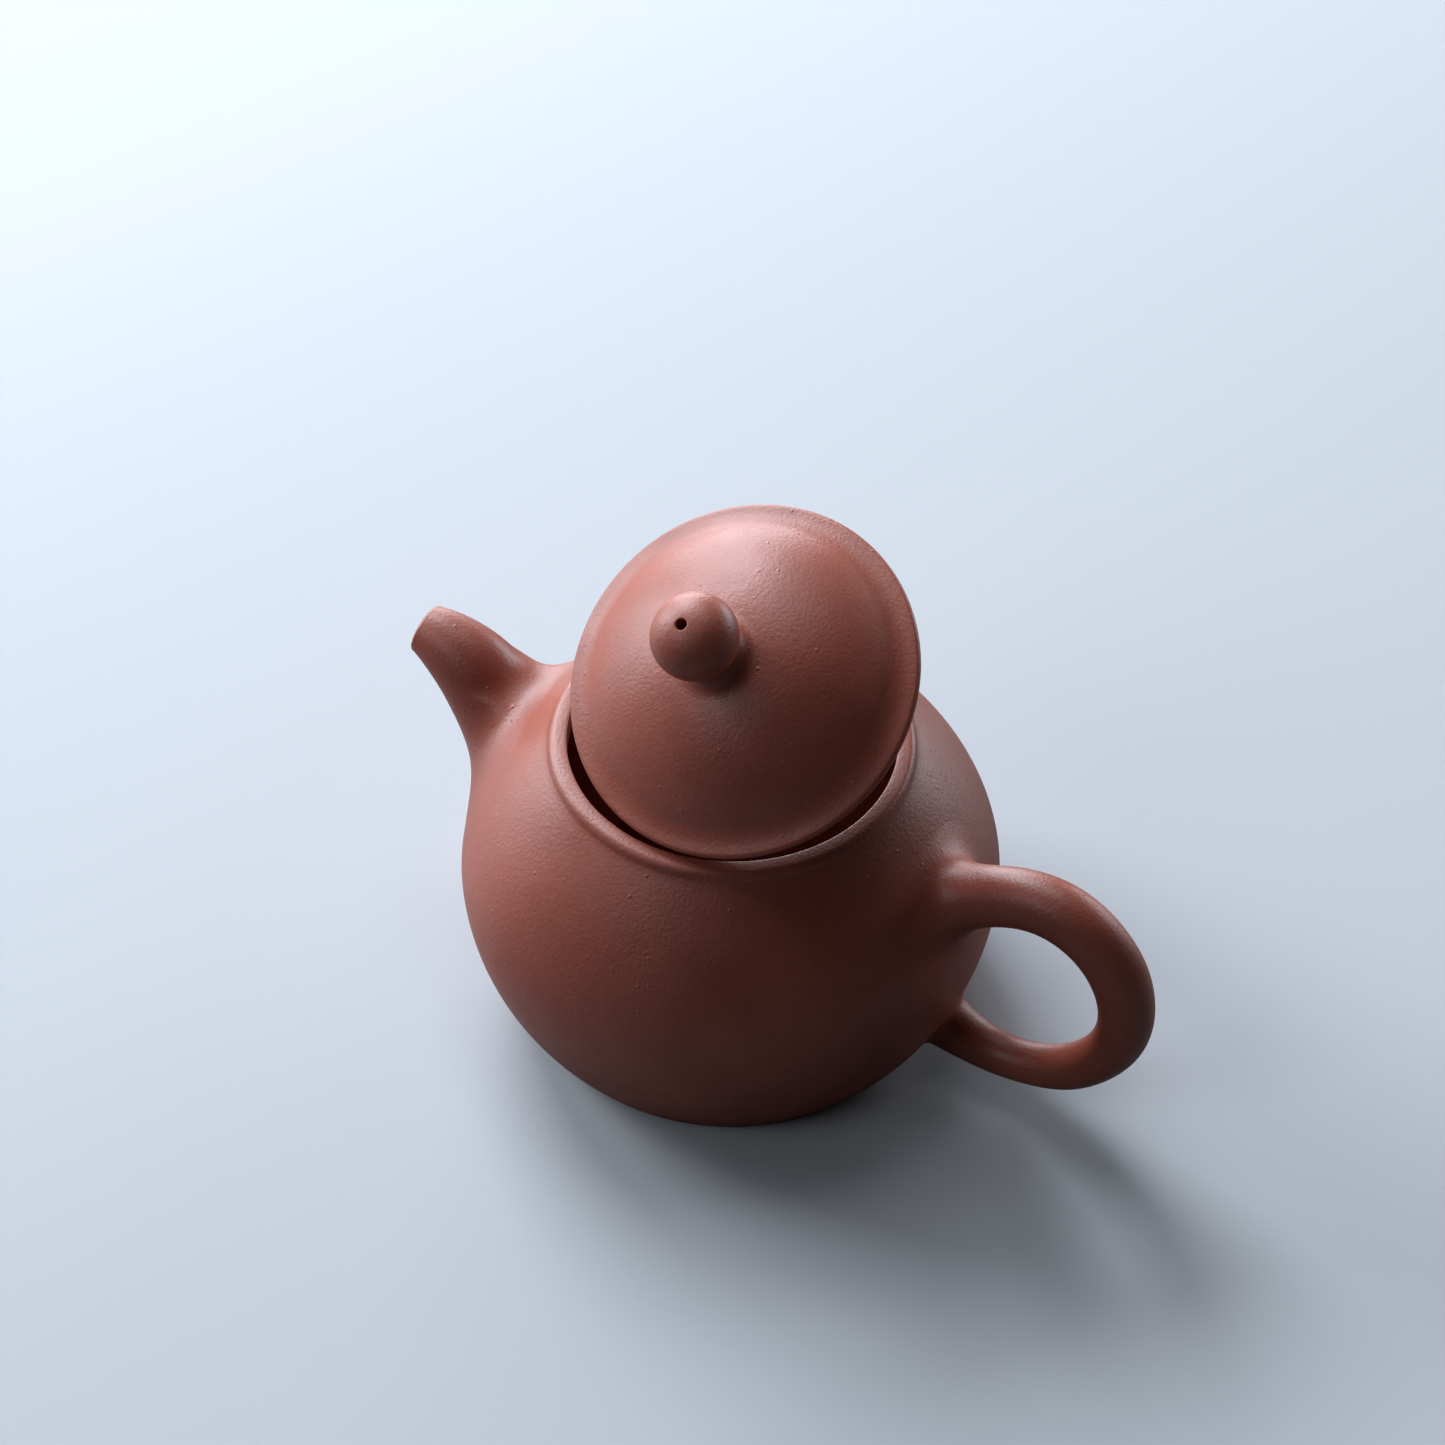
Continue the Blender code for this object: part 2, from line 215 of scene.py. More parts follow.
def smooth_curve(stations, count):
    """Curve with continuous bend through every station, at evenly spread points."""
    points = np.array(stations, float)
    gaps = np.linalg.norm(np.diff(points[:, :2], axis=0), axis=1)
    knots = np.concatenate(([0.0], np.cumsum(gaps)))
    size = len(points)
    system = np.eye(size)
    wanted = np.zeros_like(points)
    for i in range(1, size - 1):
        system[i, i - 1:i + 2] = gaps[i - 1], 2.0 * (gaps[i - 1] + gaps[i]), gaps[i]
        rise = (points[i + 1] - points[i]) / gaps[i] - (points[i] - points[i - 1]) / gaps[i - 1]
        wanted[i] = 6.0 * rise
    bend = np.linalg.solve(system, wanted)
    place = np.linspace(0.0, knots[-1], count)
    low = np.clip(np.searchsorted(knots, place, side="right") - 1, 0, size - 2)
    gap = gaps[low][:, None]
    ahead = (place - knots[low])[:, None]
    behind = gap - ahead
    return (bend[low] * behind ** 3 / (6.0 * gap) + bend[low + 1] * ahead ** 3 / (6.0 * gap)
            + (points[low] / gap - bend[low] * gap / 6.0) * behind
            + (points[low + 1] / gap - bend[low + 1] * gap / 6.0) * ahead)


# ---- the body as a field ----------------------------------------------------------------
def body_radius(z):
    """Outer radius of the body at each height."""
    z = np.asarray(z, float)
    low = BELLY_R - (BELLY_R - BASE_R) * ((BELLY_Z - z) / BELLY_Z) ** 2
    rise = np.maximum(z - BELLY_Z, 0.0) / (GROOVE_Z - BELLY_Z)
    high = BELLY_R - (BELLY_R - GROOVE_R) * rise ** SHOULDER_POWER
    return np.where(z < BELLY_Z, low, high)


def body_slope(z):
    return (body_radius(z + 0.02) - body_radius(z - 0.02)) / 0.04


def body_field(points):
    """Distance outside the body's surface, negative inside."""
    z = points[..., 2]
    slope = body_slope(z)
    return (np.hypot(points[..., 0], points[..., 1]) - body_radius(z)) / np.hypot(1.0, slope)


def body_normal(points):
    radius = np.hypot(points[..., 0], points[..., 1])
    slope = body_slope(points[..., 2])
    out = np.stack([points[..., 0] / radius, points[..., 1] / radius, -slope], axis=-1)
    return out / np.hypot(1.0, slope)[..., None]


def body_curve(z_from, z_to, count, inset=0.0):
    """Points along the body's surface, moved inwards by inset."""
    points = []
    for z in np.linspace(z_from, z_to, count):
        slope = float(body_slope(z))
        scale = inset / math.hypot(1.0, slope)
        points.append((float(body_radius(z)) - scale, z + slope * scale))
    return points


def melt(first, second, softness):
    """Softened smaller of two fields."""
    near = np.maximum(softness - np.abs(first - second), 0.0) / softness
    return np.minimum(first, second) - near ** 3 * softness / 6.0


# ---- tubes that grow out of the body ----------------------------------------------------
class Tube:
    """Round tube along a curve in the plane y = 0; side -1 mirrors it to -X."""

    def __init__(self, stations, side, samples=1400):
        self.line = smooth_curve(stations, samples)
        self.line[:, 0] *= side
        self.centre = self.line[:, :2]
        self.radius = self.line[:, 2]
        along = np.gradient(self.centre, axis=0)
        self.along = along / np.linalg.norm(along, axis=1)[:, None]
        steps = np.linalg.norm(np.diff(self.centre, axis=0), axis=1)
        self.reach = np.concatenate(([0.0], np.cumsum(steps)))

    def leaves_body(self, from_end=False):
        """Index of the sample where the centre line passes the body's surface."""
        flat = np.stack([self.centre[:, 0], 0.0 * self.radius, self.centre[:, 1]], axis=-1)
        outside = np.nonzero(body_field(flat) > 0.0)[0]
        return int(outside[-1] if from_end else outside[0])

    def field(self, points, low, high):
        """Distance outside the stretch of tube between two samples."""
        flat = points[..., (0, 2)].reshape(-1, 2)
        line, radius = self.centre[low:high], self.radius[low:high]
        best = np.full(len(flat), np.inf)
        size = np.zeros(len(flat))
        nearest = np.argmin(((flat[:, None, :] - line[None, :, :]) ** 2).sum(-1), axis=1)
        for start in (nearest - 1, nearest):
            start = np.clip(start, 0, len(line) - 2)
            step = line[start + 1] - line[start]
            share = ((flat - line[start]) * step).sum(-1) / (step ** 2).sum(-1)
            share = np.clip(share, 0.0, 1.0)
            gap = ((flat - line[start] - share[:, None] * step) ** 2).sum(-1)
            better = gap < best
            best = np.where(better, gap, best)
            here = radius[start] + share * (radius[start + 1] - radius[start])
            size = np.where(better, here, size)
        y = points[..., 1].reshape(-1)
        return (np.sqrt(best + y ** 2) - size).reshape(points.shape[:-1])

    def ring(self, index, spin, radius=None):
        """Circle of points round the centre line at a sample."""
        cx, cz = self.centre[index]
        ax, az = self.along[index]
        size = self.radius[index] if radius is None else radius
        across = np.cos(spin)[:, None] * np.array([-az, 0.0, ax]) * size
        return np.array([cx, 0.0, cz]) + across + np.sin(spin)[:, None] * np.array(
            [0.0, size, 0.0])


def root_rings(tube, root, outward, softness, skirt, clear, around, count):
    """Rings from the edge of a root's skirt on the body up to the plain tube.

    root is the sample where the centre line passes the body, outward is +1 when the tube
    leaves the body towards higher samples, and clear is the length of tube that the root
    softens."""
    spin = np.linspace(0.0, math.tau, around, endpoint=False)
    spacing = tube.reach[-1] / (len(tube.reach) - 1)
    first = root + outward * int(clear / spacing)
    inside = root - outward * int(7.0 / spacing)
    inside = min(max(inside, 0), len(tube.reach) - 1)
    span = sorted((inside, root + outward * int((clear + 9.0) / spacing)))
    low, high = max(span[0], 0), min(span[1] + 1, len(tube.reach))

    top = tube.ring(first, spin)
    eye = np.array([tube.centre[inside][0], 0.0, tube.centre[inside][1]])
    base = np.array([tube.centre[root][0], 0.0, tube.centre[root][1]])
    normal = body_normal(base)
    across = top - top.mean(axis=0)
    across -= (across @ normal)[:, None] * normal
    across /= np.linalg.norm(across, axis=1)[:, None]
    up_share = across[:, 2] / np.abs(across[:, 2]).max()
    upwards, sideways, downwards = skirt
    tall = np.where(up_share > 0.0, upwards, downwards)
    reach = sideways + (tall - sideways) * up_share ** 2
    edge = base + across * reach[:, None]
    for _ in range(12):
        edge = edge - body_field(edge)[:, None] * body_normal(edge)

    def field(points):
        fade = np.clip((FADE_Z - points[..., 2]) / FADE_SPAN, 0.02, 1.0)
        return melt(body_field(points), tube.field(points, low, high), softness * fade)

    share = np.linspace(0.0, 1.0, count)[:, None, None]
    aim = edge + (top - edge) * share - eye
    aim /= np.linalg.norm(aim, axis=-1)[..., None]
    near = np.zeros(aim.shape[:2])
    far = np.full(aim.shape[:2], np.linalg.norm(edge - eye, axis=1).max() + 8.0)
    for _ in range(22):
        middle = (near + far) * 0.5
        outside = field(eye + aim * middle[..., None]) > 0.0
        far = np.where(outside, middle, far)
        near = np.where(outside, near, middle)
    rings = eye + aim * near[..., None]
    rings[-1] = top
    sink = 0.012 - 0.08 * np.clip(1.0 - share / 0.22, 0.0, 1.0) ** 2
    sink = np.where(share > 0.8, 0.012 * (1.0 - share) / 0.2, sink)
    rings = rings + sink * body_normal(rings)
    return rings, first


def loft(rings, closed):
    """Points and faces through rings; open ends are closed with a fan."""
    count, around = len(rings), len(rings[0])
    points = np.concatenate(rings)
    faces = []
    for i in range(count if closed else count - 1):
        faces += ring_faces(i * around, ((i + 1) % count) * around, around)
    if not closed:
        for ring, flip in ((0, True), (count - 1, False)):
            tip = len(points)
            points = np.concatenate([points, rings[ring].mean(axis=0)[None, :]])
            for i in range(around):
                pair = (ring * around + i, ring * around + (i + 1) % around)
                faces.append((tip,) + (pair[::-1] if flip else pair))
    return points, faces


def under_skirt(edge, depth):
    """The edge of a skirt moved into the clay and a little inwards."""
    middle = edge.mean(axis=0)
    return middle + (edge - middle) * 0.97 - body_normal(edge) * depth


def build_handle():
    tube = Tube(HANDLE_STATIONS, 1.0)
    around = 88
    spin = np.linspace(0.0, math.tau, around, endpoint=False)
    upper, start = root_rings(tube, tube.leaves_body(), 1, UPPER_SOFTNESS, UPPER_SKIRT,
                              8.0, around, 60)
    lower, stop = root_rings(tube, tube.leaves_body(from_end=True), -1, LOWER_SOFTNESS,
                             LOWER_SKIRT, 4.5, around, 44)
    middle = [tube.ring(int(i), spin) for i in np.linspace(start, stop, 220)[1:-1]]
    rings = [under_skirt(upper[0], 1.0)] + list(upper) + middle + list(lower[::-1])
    rings.append(under_skirt(lower[0], 1.0))
    return make_piece("handle_clay", *loft(rings, closed=False))


def build_spout():
    tube = Tube(SPOUT_STATIONS, -1.0)
    around = 120
    spin = np.linspace(0.0, math.tau, around, endpoint=False)
    root = tube.leaves_body()
    outer, start = root_rings(tube, root, 1, SPOUT_SOFTNESS, SPOUT_SKIRT, 17.0, around, 110)
    last = len(tube.reach) - 1
    spacing = tube.reach[-1] / last
    lip_start = last - int(LIP_ROUND / spacing)
    rings = list(outer)
    rings += [tube.ring(int(i), spin) for i in np.linspace(start, lip_start, 60)[1:]]
    tip_r = tube.radius[lip_start]
    along = np.array([tube.along[last][0], 0.0, tube.along[last][1]])
    lip_centre = tube.ring(lip_start, spin, 0.0)
    for angle in np.radians(np.linspace(0.0, 90.0, 7)[1:]):
        size = tip_r - LIP_ROUND + LIP_ROUND * math.cos(angle)
        rings.append(lip_centre + tube.ring(lip_start, spin, size)
                     - tube.ring(lip_start, spin, 0.0) + along * LIP_ROUND * math.sin(angle))
    for angle in np.radians(np.linspace(90.0, 0.0, 6)):
        size = BORE_TIP_R + 0.3 - 0.3 * math.cos(angle)
        rings.append(tube.ring(lip_start, spin, size)
                     + along * (LIP_ROUND - 0.3 + 0.3 * math.sin(angle)))
    for i in np.linspace(lip_start - 4, root, 50):
        share = (i - root) / (lip_start - root)
        size = BORE_ROOT_R + (BORE_TIP_R - BORE_ROOT_R) * share ** 0.7
        rings.append(tube.ring(int(i), spin, size))
    floor = rings[-1]
    for _ in range(6):
        floor = floor - (body_field(floor) + 0.5)[:, None] * body_normal(floor)
    rings.append(floor)
    rings.append(under_skirt(outer[0], 0.45))
    return make_piece("spout_clay", *loft(rings, closed=True))


# ---- turned pieces of the pot -----------------------------------------------------------
SLIVER = 1e-6                         # metres: shorter edges left by a cut are closed up


def carve(obj, *cutters):
    """Cuts the pieces in cutters out of obj and removes them."""
    for tool in cutters:
        cut = obj.modifiers.new("Cut", "BOOLEAN")
        cut.operation = "DIFFERENCE"
        cut.solver = "EXACT"
        cut.object = tool
    graph = bpy.context.evaluated_depsgraph_get()
    mesh = bpy.data.meshes.new_from_object(obj.evaluated_get(graph))
    obj.modifiers.clear()
    obj.data = mesh
    made = bmesh.new()
    made.from_mesh(mesh)
    bmesh.ops.remove_doubles(made, verts=made.verts, dist=SLIVER)
    bmesh.ops.dissolve_degenerate(made, dist=SLIVER, edges=made.edges)
    made.to_mesh(mesh)
    made.free()
    shade(mesh)
    for tool in cutters:
        bpy.data.objects.remove(tool, do_unlink=True)
    return obj


def rod(name, radius, length, turn, steps=64):
    half = length * 0.5
    profile = [(0.0, half), (radius, half), (radius, -half), (0.0, -half)]
    return make_piece(name, *lathe(profile, closed=False, steps=steps), turn=turn)


def port_place():
    """Matrix, in metres, from the port's own axis to its place on the wall."""
    surface = np.array([-float(body_radius(PORT_Z)), 0.0, PORT_Z])
    axis = Vector(body_normal(surface))
    middle = Vector(surface) - axis * WALL_T * 0.5
    return Matrix.Translation(middle * MM) @ axis.to_track_quat("Z", "Y").to_matrix().to_4x4()


def build_base():
    edge = body_curve(BASE_T, 1.5, 8) + [(BASE_R + 0.72, 1.2), (BASE_R + 0.35, 1.02)]
    lip = arc((BASE_R - 0.2, 0.45), 0.45, 62.0, -90.0, 12)
    profile = [(0.0, BASE_T)] + edge + [(BASE_R + 0.06, 0.94)] + lip + [(0.0, 0.0)]
    return make_piece("base_disc_clay", *lathe(profile, closed=False))


def build_wall():
    outer = body_curve(WALL_TOP_Z, BASE_T, 96)
    inner = body_curve(BASE_T + 0.6, WALL_TOP_Z - 0.8, 60, inset=WALL_T)
    profile = outer + [(inner[0][0] - 1.2, BASE_T)] + inner
    profile.append((float(body_radius(WALL_TOP_Z)) - WALL_T * 1.3, WALL_TOP_Z))
    wall = make_piece("body_wall_clay", *lathe(profile))
    port = rod("port_cutter", PORT_R, 14.0, port_place())
    return carve(wall, port)


def build_closing_disc():
    under = GROOVE_Z - WALL_T
    root = (float(body_radius(WALL_TOP_Z)) - WALL_T * 1.3, WALL_TOP_Z)
    inside = arc((MOUTH_R + 0.8, under + 0.8), 0.8, 250.0, 180.0, 6)
    profile = body_curve(GROOVE_Z - 0.3, WALL_TOP_Z, 16) + [root] + inside
    profile.append((MOUTH_R, GROOVE_Z - 0.3))
    return make_piece("closing_disc_clay", *lathe(profile))


def build_mouth_ring():
    z = MOUTH_Z
    side = [(25.3, z), (25.72, z - 0.1), (26.08, z - 0.42), (26.34, z - 0.9),
            (26.48, z - 1.3), (26.72, z - 1.66), (27.15, z - 2.15)]
    outer = [tuple(p[:2]) for p in smooth_curve([p + (0.0,) for p in side], 40)]
    sunk = [(27.0, z - 2.4), (MOUTH_R, GROOVE_Z - 0.3)]
    inner = arc((MOUTH_R + 0.3, z - 0.3), 0.3, 180.0, 90.0, 7)
    profile = outer + sunk + inner + [(24.6, z + 0.02)]
    return make_piece("mouth_ring_clay", *lathe(profile))


def build_strainer():
    place = port_place()
    outer = arc((0.0, 0.0), STRAINER_R, 0.0, -90.0, 20)[:-1]
    inner = arc((0.0, 0.0), STRAINER_R - STRAINER_T, -90.0, 0.0, 18)[1:]
    rim = arc((STRAINER_R - STRAINER_T * 0.5, 0.0), STRAINER_T * 0.5, 170.0, 10.0, 7)
    bottom = [(0.0, -STRAINER_R + STRAINER_T)] + inner + rim + outer + [(0.0, -STRAINER_R)]
    strainer = make_piece("strainer_clay", *lathe(bottom, closed=False, steps=96), turn=place)
    tilts = [(0.0, 0.0)] + [(36.0, 360.0 * i / STRAINER_RING) for i in range(STRAINER_RING)]
    pins = []
    for i, (tilt, spin) in enumerate(tilts):
        aim = Matrix.Rotation(math.radians(spin), 4, "Z")
        aim = aim @ Matrix.Rotation(math.radians(tilt), 4, "X")
        reach = Matrix.Translation((0.0, 0.0, -(STRAINER_R - STRAINER_T * 0.5) * MM))
        pins.append(rod(f"pin_cutter_{i}", STRAINER_HOLE_R, 4.0, place @ aim @ reach, 24))
    return carve(strainer, *pins)


# ---- the lid ----------------------------------------------------------------------------
def lid_curve():
    """Middle of the hollow sweep, and radius of the dome that meets it without a corner."""
    lean = math.radians(BRIM_SLOPE_DEG)
    brim_end = LID_R - LID_HALF_T * (1.0 - math.sin(lean))
    brim_z = LID_HALF_T * math.cos(lean) + (brim_end - COVE_END_R) * math.tan(lean)
    sweep_r = COVE_END_R + COVE_R * math.sin(lean)
    sweep_z = brim_z + COVE_R * math.cos(lean)
    drop = DOME_H - sweep_z
    dome_r = (sweep_r ** 2 + drop ** 2 - COVE_R ** 2) / (2.0 * (COVE_R + drop))
    return sweep_r, sweep_z, dome_r


SWEEP_R, SWEEP_Z, DOME_R = lid_curve()


def lid_top(r):
    """Height of the lid's upper surface above the middle of the brim."""
    if r < SWEEP_R * DOME_R / (DOME_R + COVE_R):
        return DOME_H - DOME_R + math.sqrt(DOME_R ** 2 - r ** 2)
    if r < COVE_END_R:
        return SWEEP_Z - math.sqrt(COVE_R ** 2 - (SWEEP_R - r) ** 2)
    return lid_top(COVE_END_R - 1e-6) - (r - COVE_END_R) * math.tan(math.radians(BRIM_SLOPE_DEG))


def lid_place():
    """Matrix from the lid's own axes to its rest place: seated, then turned by the joint."""
    joint = frame["joints"][0]
    axis = Vector(joint["axis"]).normalized()
    point = Matrix.Translation(Vector(joint["pos_m"]))
    turn = Matrix.Rotation(-math.radians(joint["range_deg"][0]), 4, axis)
    seat = Matrix.Translation((0.0, 0.0, (MOUTH_Z + JOINT_GAP + LID_HALF_T) * MM))
    return point @ turn @ point.inverted() @ seat


def build_lid_plate(place):
    edge_r = LID_R - LID_HALF_T
    edge = arc((edge_r, 0.0), LID_HALF_T, 90.0 - BRIM_SLOPE_DEG, -90.0, 20)
    radii = np.concatenate([np.linspace(VENT_R, 20.0, 60), np.linspace(20.2, edge_r, 50)])
    top = [(float(r), lid_top(float(r))) for r in radii]
    inside_r = COLLAR_R - COLLAR_T
    hollow = []
    for r in np.linspace(inside_r - 0.6, VENT_R, 50):
        hollow.append((float(r), max(lid_top(float(r) * 1.06) - DOME_T, -LID_HALF_T)))
    profile = top + edge + [(inside_r, -LID_HALF_T)] + hollow
    return make_piece("lid_plate_clay", *lathe(profile), turn=place)


def build_collar(place):
    inside_r = COLLAR_R - COLLAR_T
    high = -LID_HALF_T + 0.15
    low = -LID_HALF_T - COLLAR_H
    outside = [(COLLAR_R + 0.5, high), (COLLAR_R + 0.42, -LID_HALF_T - 0.06)]
    outside += arc((COLLAR_R + 0.5, -LID_HALF_T - 0.5), 0.5, 100.0, 180.0, 6)
    outside += arc((COLLAR_R - 0.6, low + 0.6), 0.5, 0.0, -90.0, 8)
    inside = arc((inside_r + 0.6, low + 0.6), 0.6, -90.0, -180.0, 8)
    profile = outside + inside + [(inside_r, high)]
    return make_piece("lid_collar_clay", *lathe(profile), turn=place)


def build_knob(place):
    dome_z = DOME_H - DOME_R
    far = DOME_R + NECK_COVE_R
    near = KNOB_R + NECK_COVE_R
    gap = KNOB_Z - dome_z
    along = (far ** 2 - near ** 2 + gap ** 2) / (2.0 * gap)
    cove_z = dome_z + along
    cove_r = math.sqrt(far ** 2 - along ** 2)
    bead_end = math.degrees(math.atan2(cove_z - KNOB_Z, cove_r))
    foot = math.degrees(math.atan2(dome_z - cove_z, -cove_r))
    hole_deg = math.degrees(math.acos((VENT_R + VENT_ROUND) / KNOB_R))
    crown = arc((0.0, 0.0), KNOB_R, hole_deg, 0.0, 45)
    bead = [(r, KNOB_Z + z * KNOB_CROWN / KNOB_R) for r, z in crown]
    bead += arc((0.0, KNOB_Z), KNOB_R, 0.0, bead_end, 30)[1:]
    cove = arc((cove_r, cove_z), NECK_COVE_R, 180.0 + bead_end, 360.0 + foot, 36)[1:]
    foot_r, foot_z = cove[-1]
    top_z = bead[0][1]
    mouth = arc((VENT_R + VENT_ROUND, top_z - VENT_ROUND), VENT_ROUND, 180.0, 100.0, 6)
    under = [(foot_r + 0.25, foot_z - 0.2), (foot_r - 0.6, foot_z - 0.6)]
    profile = bead + cove + under + [(VENT_R, lid_top(VENT_R) - 0.4)] + mouth
    return make_piece("knob_clay", *lathe(profile), turn=place)


# ---- clay -------------------------------------------------------------------------------
def node(tree, kind, **values):
    made = tree.nodes.new(kind)
    for key, value in values.items():
        setattr(made, key, value)
    return made


def noise(tree, coords, scale, detail, rough=0.5):
    made = node(tree, "ShaderNodeTexNoise")
    made.inputs["Scale"].default_value = scale
    made.inputs["Detail"].default_value = detail
    made.inputs["Roughness"].default_value = rough
    tree.links.new(coords, made.inputs["Vector"])
    return made.outputs["Fac"]


def ramp(tree, source, low, high, out_low, out_high):
    made = node(tree, "ShaderNodeMapRange", interpolation_type="SMOOTHSTEP")
    made.inputs["From Min"].default_value = low
    made.inputs["From Max"].default_value = high
    made.inputs["To Min"].default_value = out_low
    made.inputs["To Max"].default_value = out_high
    tree.links.new(source, made.inputs["Value"])
    return made.outputs["Result"]


def mix_colour(tree, share, first, second):
    made = node(tree, "ShaderNodeMix", data_type="RGBA")
    for socket, value in ((made.inputs["A"], first), (made.inputs["B"], second)):
        if isinstance(value, tuple):
            socket.default_value = value + (1.0,)
        else:
            tree.links.new(value, socket)
    tree.links.new(share, made.inputs["Factor"])
    return made.outputs["Result"]


def bump(tree, height, strength, distance, below=None):
    made = node(tree, "ShaderNodeBump")
    made.inputs["Strength"].default_value = strength
    made.inputs["Distance"].default_value = distance
    tree.links.new(height, made.inputs["Height"])
    if below is not None:
        tree.links.new(below, made.inputs["Normal"])
    return made.outputs["Normal"]


def pimples(tree, coords, scale, rare):
    """Small round grains under the skin, in only some of the cells of a pattern."""
    cells = node(tree, "ShaderNodeTexVoronoi")
    cells.inputs["Scale"].default_value = scale
    tree.links.new(coords, cells.inputs["Vector"])
    grain = ramp(tree, cells.outputs["Distance"], 0.02, 0.17, 1.0, 0.0)
    chosen = ramp(tree, cells.outputs["Color"], rare, rare + 0.04, 0.0, 1.0)
    both = node(tree, "ShaderNodeMath", operation="MULTIPLY")
    tree.links.new(grain, both.inputs[0])
    tree.links.new(chosen, both.inputs[1])
    return both.outputs["Value"]


def clay_material(name, warm):
    """Unglazed fired clay: mottled red-brown, fine sandy grain and a satin patina."""
    mat = bpy.data.materials.new(name)
    mat.use_nodes = True
    tree = mat.node_tree
    skin = tree.nodes["Principled BSDF"]
    coords = node(tree, "ShaderNodeTexCoord").outputs["Object"]

    cloud = ramp(tree, noise(tree, coords, 60.0, 3.0), 0.35, 0.68, 0.0, 1.0)
    grain = ramp(tree, noise(tree, coords, 2600.0, 2.0, 0.6), 0.3, 0.7, 0.0, 1.0)
    light = tuple(c * warm for c in (0.310, 0.076, 0.046))
    deep = tuple(c * warm for c in (0.262, 0.061, 0.036))
    colour = mix_colour(tree, cloud, deep, light)
    fleck = tuple(c * 0.78 for c in deep)
    colour = mix_colour(tree, ramp(tree, grain, 0.0, 0.35, 0.35, 0.0), colour, fleck)
    tree.links.new(colour, skin.inputs["Base Color"])

    satin = ramp(tree, noise(tree, coords, 90.0, 4.0), 0.3, 0.7, 0.4, 0.48)
    tree.links.new(satin, skin.inputs["Roughness"])
    skin.inputs["IOR"].default_value = 1.54

    soft = bump(tree, noise(tree, coords, 240.0, 2.0), 0.3, 0.0002)
    sand = bump(tree, noise(tree, coords, 1900.0, 2.0, 0.6), 0.7, 0.00009, soft)
    nub = bump(tree, pimples(tree, coords, 480.0, 0.60), 0.8, 0.00009, sand)
    tree.links.new(bump(tree, pimples(tree, coords, 1150.0, 0.45), 0.5, 0.00004, nub),
                   skin.inputs["Normal"])
    return mat


def dress(obj, material, body, cad_node):
    obj.data.materials.clear()
    obj.data.materials.append(material)
    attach(obj, body)
    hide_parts(cad_node)
    return obj


# ---- stage, light and camera ------------------------------------------------------------
CAMERA_AT = (0.14190, -0.25890, 0.36189)
CAMERA_AZIMUTH_DEG = 29.0
CAMERA_ELEVATION_DEG = 46.3228
CAMERA_ROLL_DEG = 0.5525
CAMERA_LENS_MM = 74.99


def build_camera():
    data = bpy.data.cameras.new("camera")
    data.sensor_width = 36.0
    data.lens = CAMERA_LENS_MM
    data.clip_start = 0.01
    data.clip_end = 20.0
    camera = bpy.data.objects.new("camera", data)
    bpy.context.scene.collection.objects.link(camera)
    spin = Matrix.Rotation(math.radians(CAMERA_AZIMUTH_DEG), 4, "Z")
    tilt = Matrix.Rotation(math.radians(90.0 - CAMERA_ELEVATION_DEG), 4, "X")
    roll = Matrix.Rotation(math.radians(CAMERA_ROLL_DEG), 4, "Z")
    camera.matrix_world = Matrix.Translation(CAMERA_AT) @ spin @ tilt @ roll
    bpy.context.scene.camera = camera


FLOOR_SEEN = (0.46, 0.48, 0.51)
FLOOR_BOUNCED = (0.14, 0.14, 0.15)    # keeps light from below weak, as on a dark table


def build_floor():
    size = 1.05
    corners = [(x * size, y * size, -0.0002) for x, y in ((-1, -1), (1, -1), (1, 1), (-1, 1))]
    mesh = bpy.data.meshes.new("floor")
    mesh.from_pydata(corners, [], [(0, 1, 2, 3)])
    floor = bpy.data.objects.new("floor", mesh)
    bpy.context.scene.collection.objects.link(floor)
    mat = bpy.data.materials.new("pale_floor")
    mat.use_nodes = True
    tree = mat.node_tree
    skin = tree.nodes["Principled BSDF"]
    seen = node(tree, "ShaderNodeLightPath").outputs["Is Camera Ray"]
    tree.links.new(mix_colour(tree, seen, FLOOR_BOUNCED, FLOOR_SEEN), skin.inputs["Base Color"])
    matt = node(tree, "ShaderNodeMapRange")
    matt.inputs["To Min"].default_value = 0.42
    matt.inputs["To Max"].default_value = 0.9
    tree.links.new(seen, matt.inputs["Value"])
    tree.links.new(matt.outputs["Result"], skin.inputs["Roughness"])
    mesh.materials.append(mat)


DAYLIGHT = (0.93, 1.0, 1.08)


LIGHT_DISTANCE = 1.2


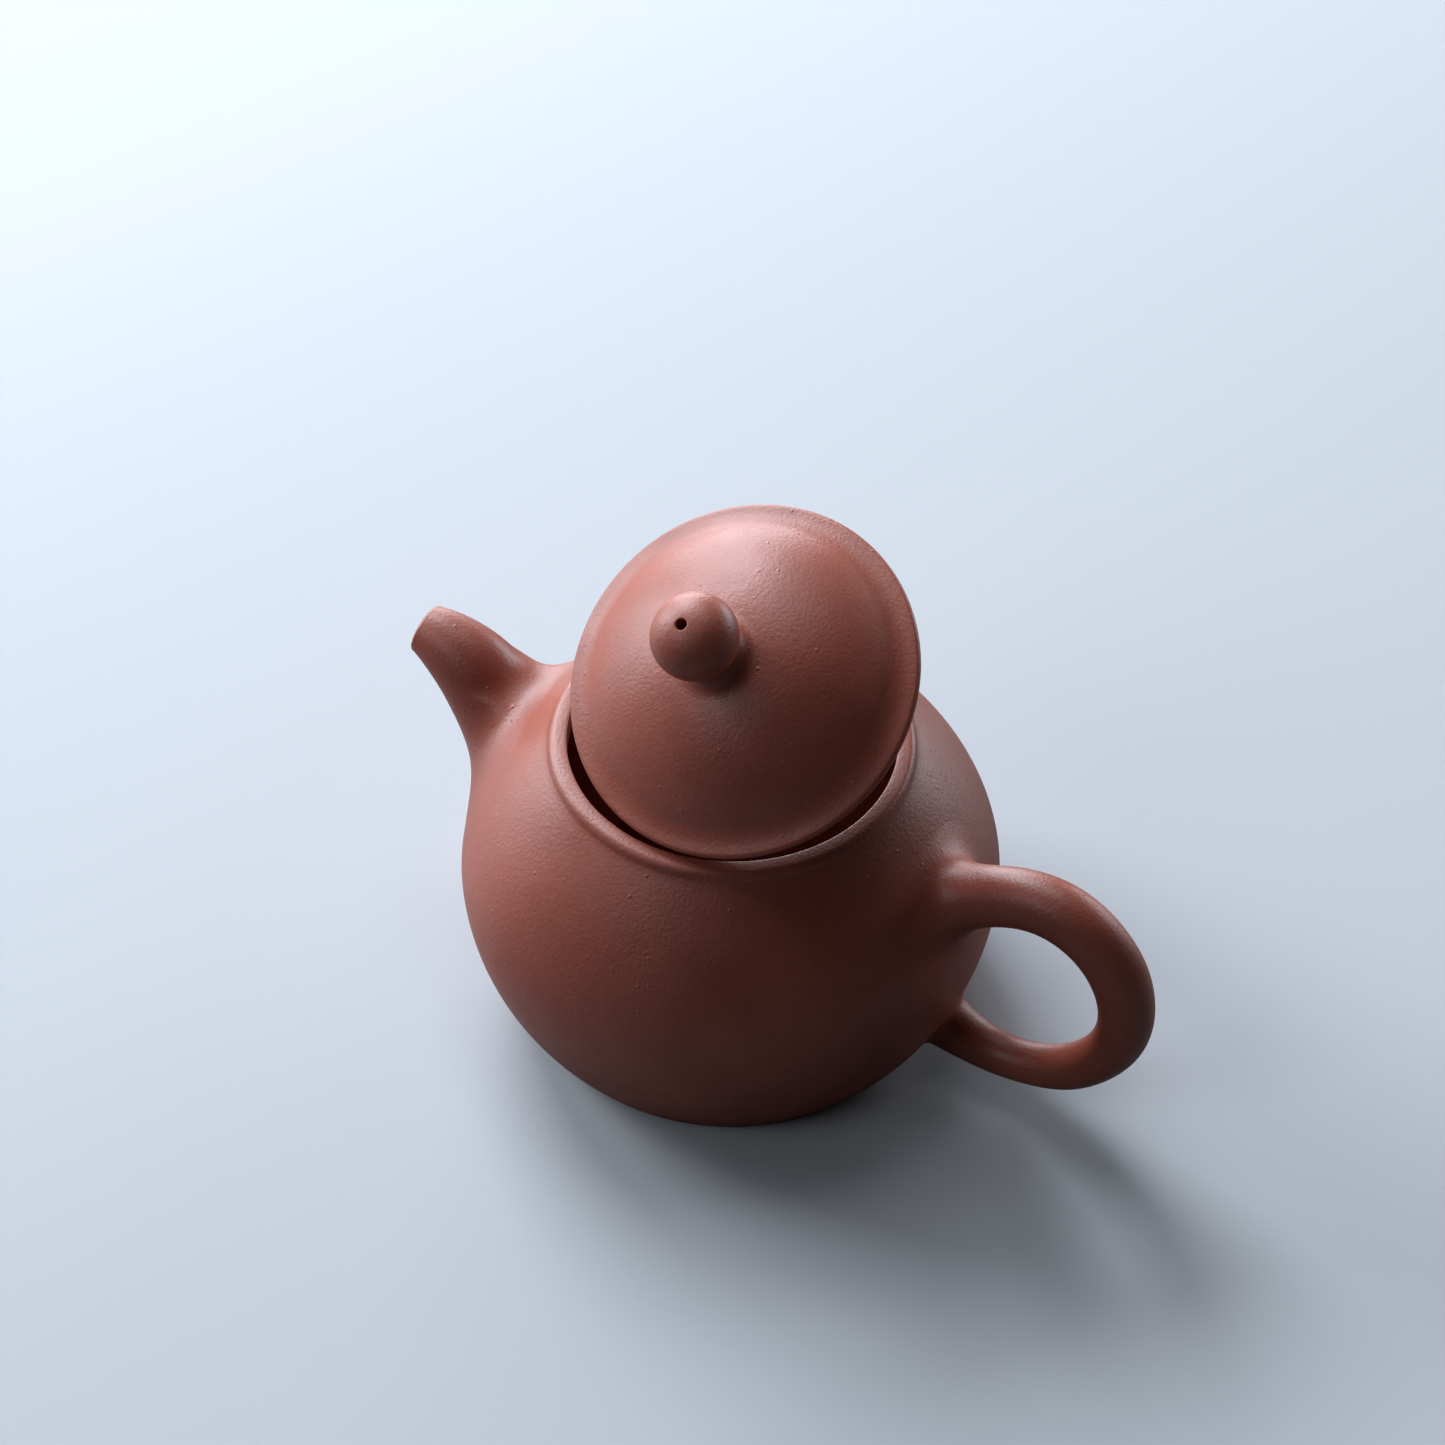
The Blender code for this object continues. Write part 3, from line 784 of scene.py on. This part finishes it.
def soft_light(name, azimuth, elevation, width, height, power):
    """Soft box.  Azimuth 0 is on the camera's side and 180 behind the pot."""
    data = bpy.data.lights.new(name, "AREA")
    data.shape = "RECTANGLE"
    data.size = width
    data.size_y = height
    data.energy = power
    data.color = DAYLIGHT
    lamp = bpy.data.objects.new(name, data)
    bpy.context.scene.collection.objects.link(lamp)
    a = math.radians(azimuth + CAMERA_AZIMUTH_DEG)
    e = math.radians(elevation)
    back = Vector((math.sin(a) * math.cos(e), -math.cos(a) * math.cos(e), math.sin(e)))
    lamp.location = Vector((0.0, 0.0, 0.04)) + back * LIGHT_DISTANCE
    lamp.rotation_mode = "QUATERNION"
    lamp.rotation_quaternion = (-back).to_track_quat("-Z", "Y")


def build_light():
    soft_light("window", 207.0, 42.0, 0.6, 0.45, 13.5)
    soft_light("window_left", 242.0, 29.0, 0.45, 0.45, 8.6)
    soft_light("horizon_right", 132.0, 9.0, 0.8, 0.34, 5.5)
    soft_light("horizon", 190.0, 10.0, 0.8, 0.34, 9.5)
    soft_light("horizon_left", 240.0, 9.0, 0.8, 0.34, 5.2)
    soft_light("ceiling", 180.0, 72.0, 0.5, 0.5, 2.4)
    soft_light("fill", 305.0, 42.0, 0.5, 0.5, 2.0)
    world = bpy.data.worlds.new("soft_room")
    world.use_nodes = True
    tree = world.node_tree
    background = tree.nodes["Background"]
    background.inputs["Color"].default_value = (0.9, 0.95, 1.0, 1.0)
    glow = node(tree, "ShaderNodeMapRange")
    glow.inputs["To Min"].default_value = 0.01
    glow.inputs["To Max"].default_value = 0.6
    seen = node(tree, "ShaderNodeLightPath").outputs["Is Camera Ray"]
    tree.links.new(seen, glow.inputs["Value"])
    tree.links.new(glow.outputs["Result"], background.inputs["Strength"])
    bpy.context.scene.world = world
    bpy.context.scene.view_settings.view_transform = "Standard"


# ---- build ------------------------------------------------------------------------------
def build():
    pot_clay = clay_material("pot_clay", 1.0)
    lid_clay = clay_material("lid_clay", 1.03)
    dress(build_base(), pot_clay, "pot", "base_disc")
    dress(build_wall(), pot_clay, "pot", "body_wall")
    dress(build_closing_disc(), pot_clay, "pot", "closing_disc")
    dress(build_mouth_ring(), pot_clay, "pot", "mouth_ring")
    dress(build_spout(), pot_clay, "pot", "spout")
    dress(build_strainer(), pot_clay, "pot", "strainer")
    dress(build_handle(), pot_clay, "pot", "handle")
    place = lid_place()
    dress(build_lid_plate(place), lid_clay, "lid", "lid_plate")
    dress(build_collar(place), lid_clay, "lid", "lid_collar")
    dress(build_knob(place), lid_clay, "lid", "knob")
    build_floor()
    build_light()
    build_camera()


build()
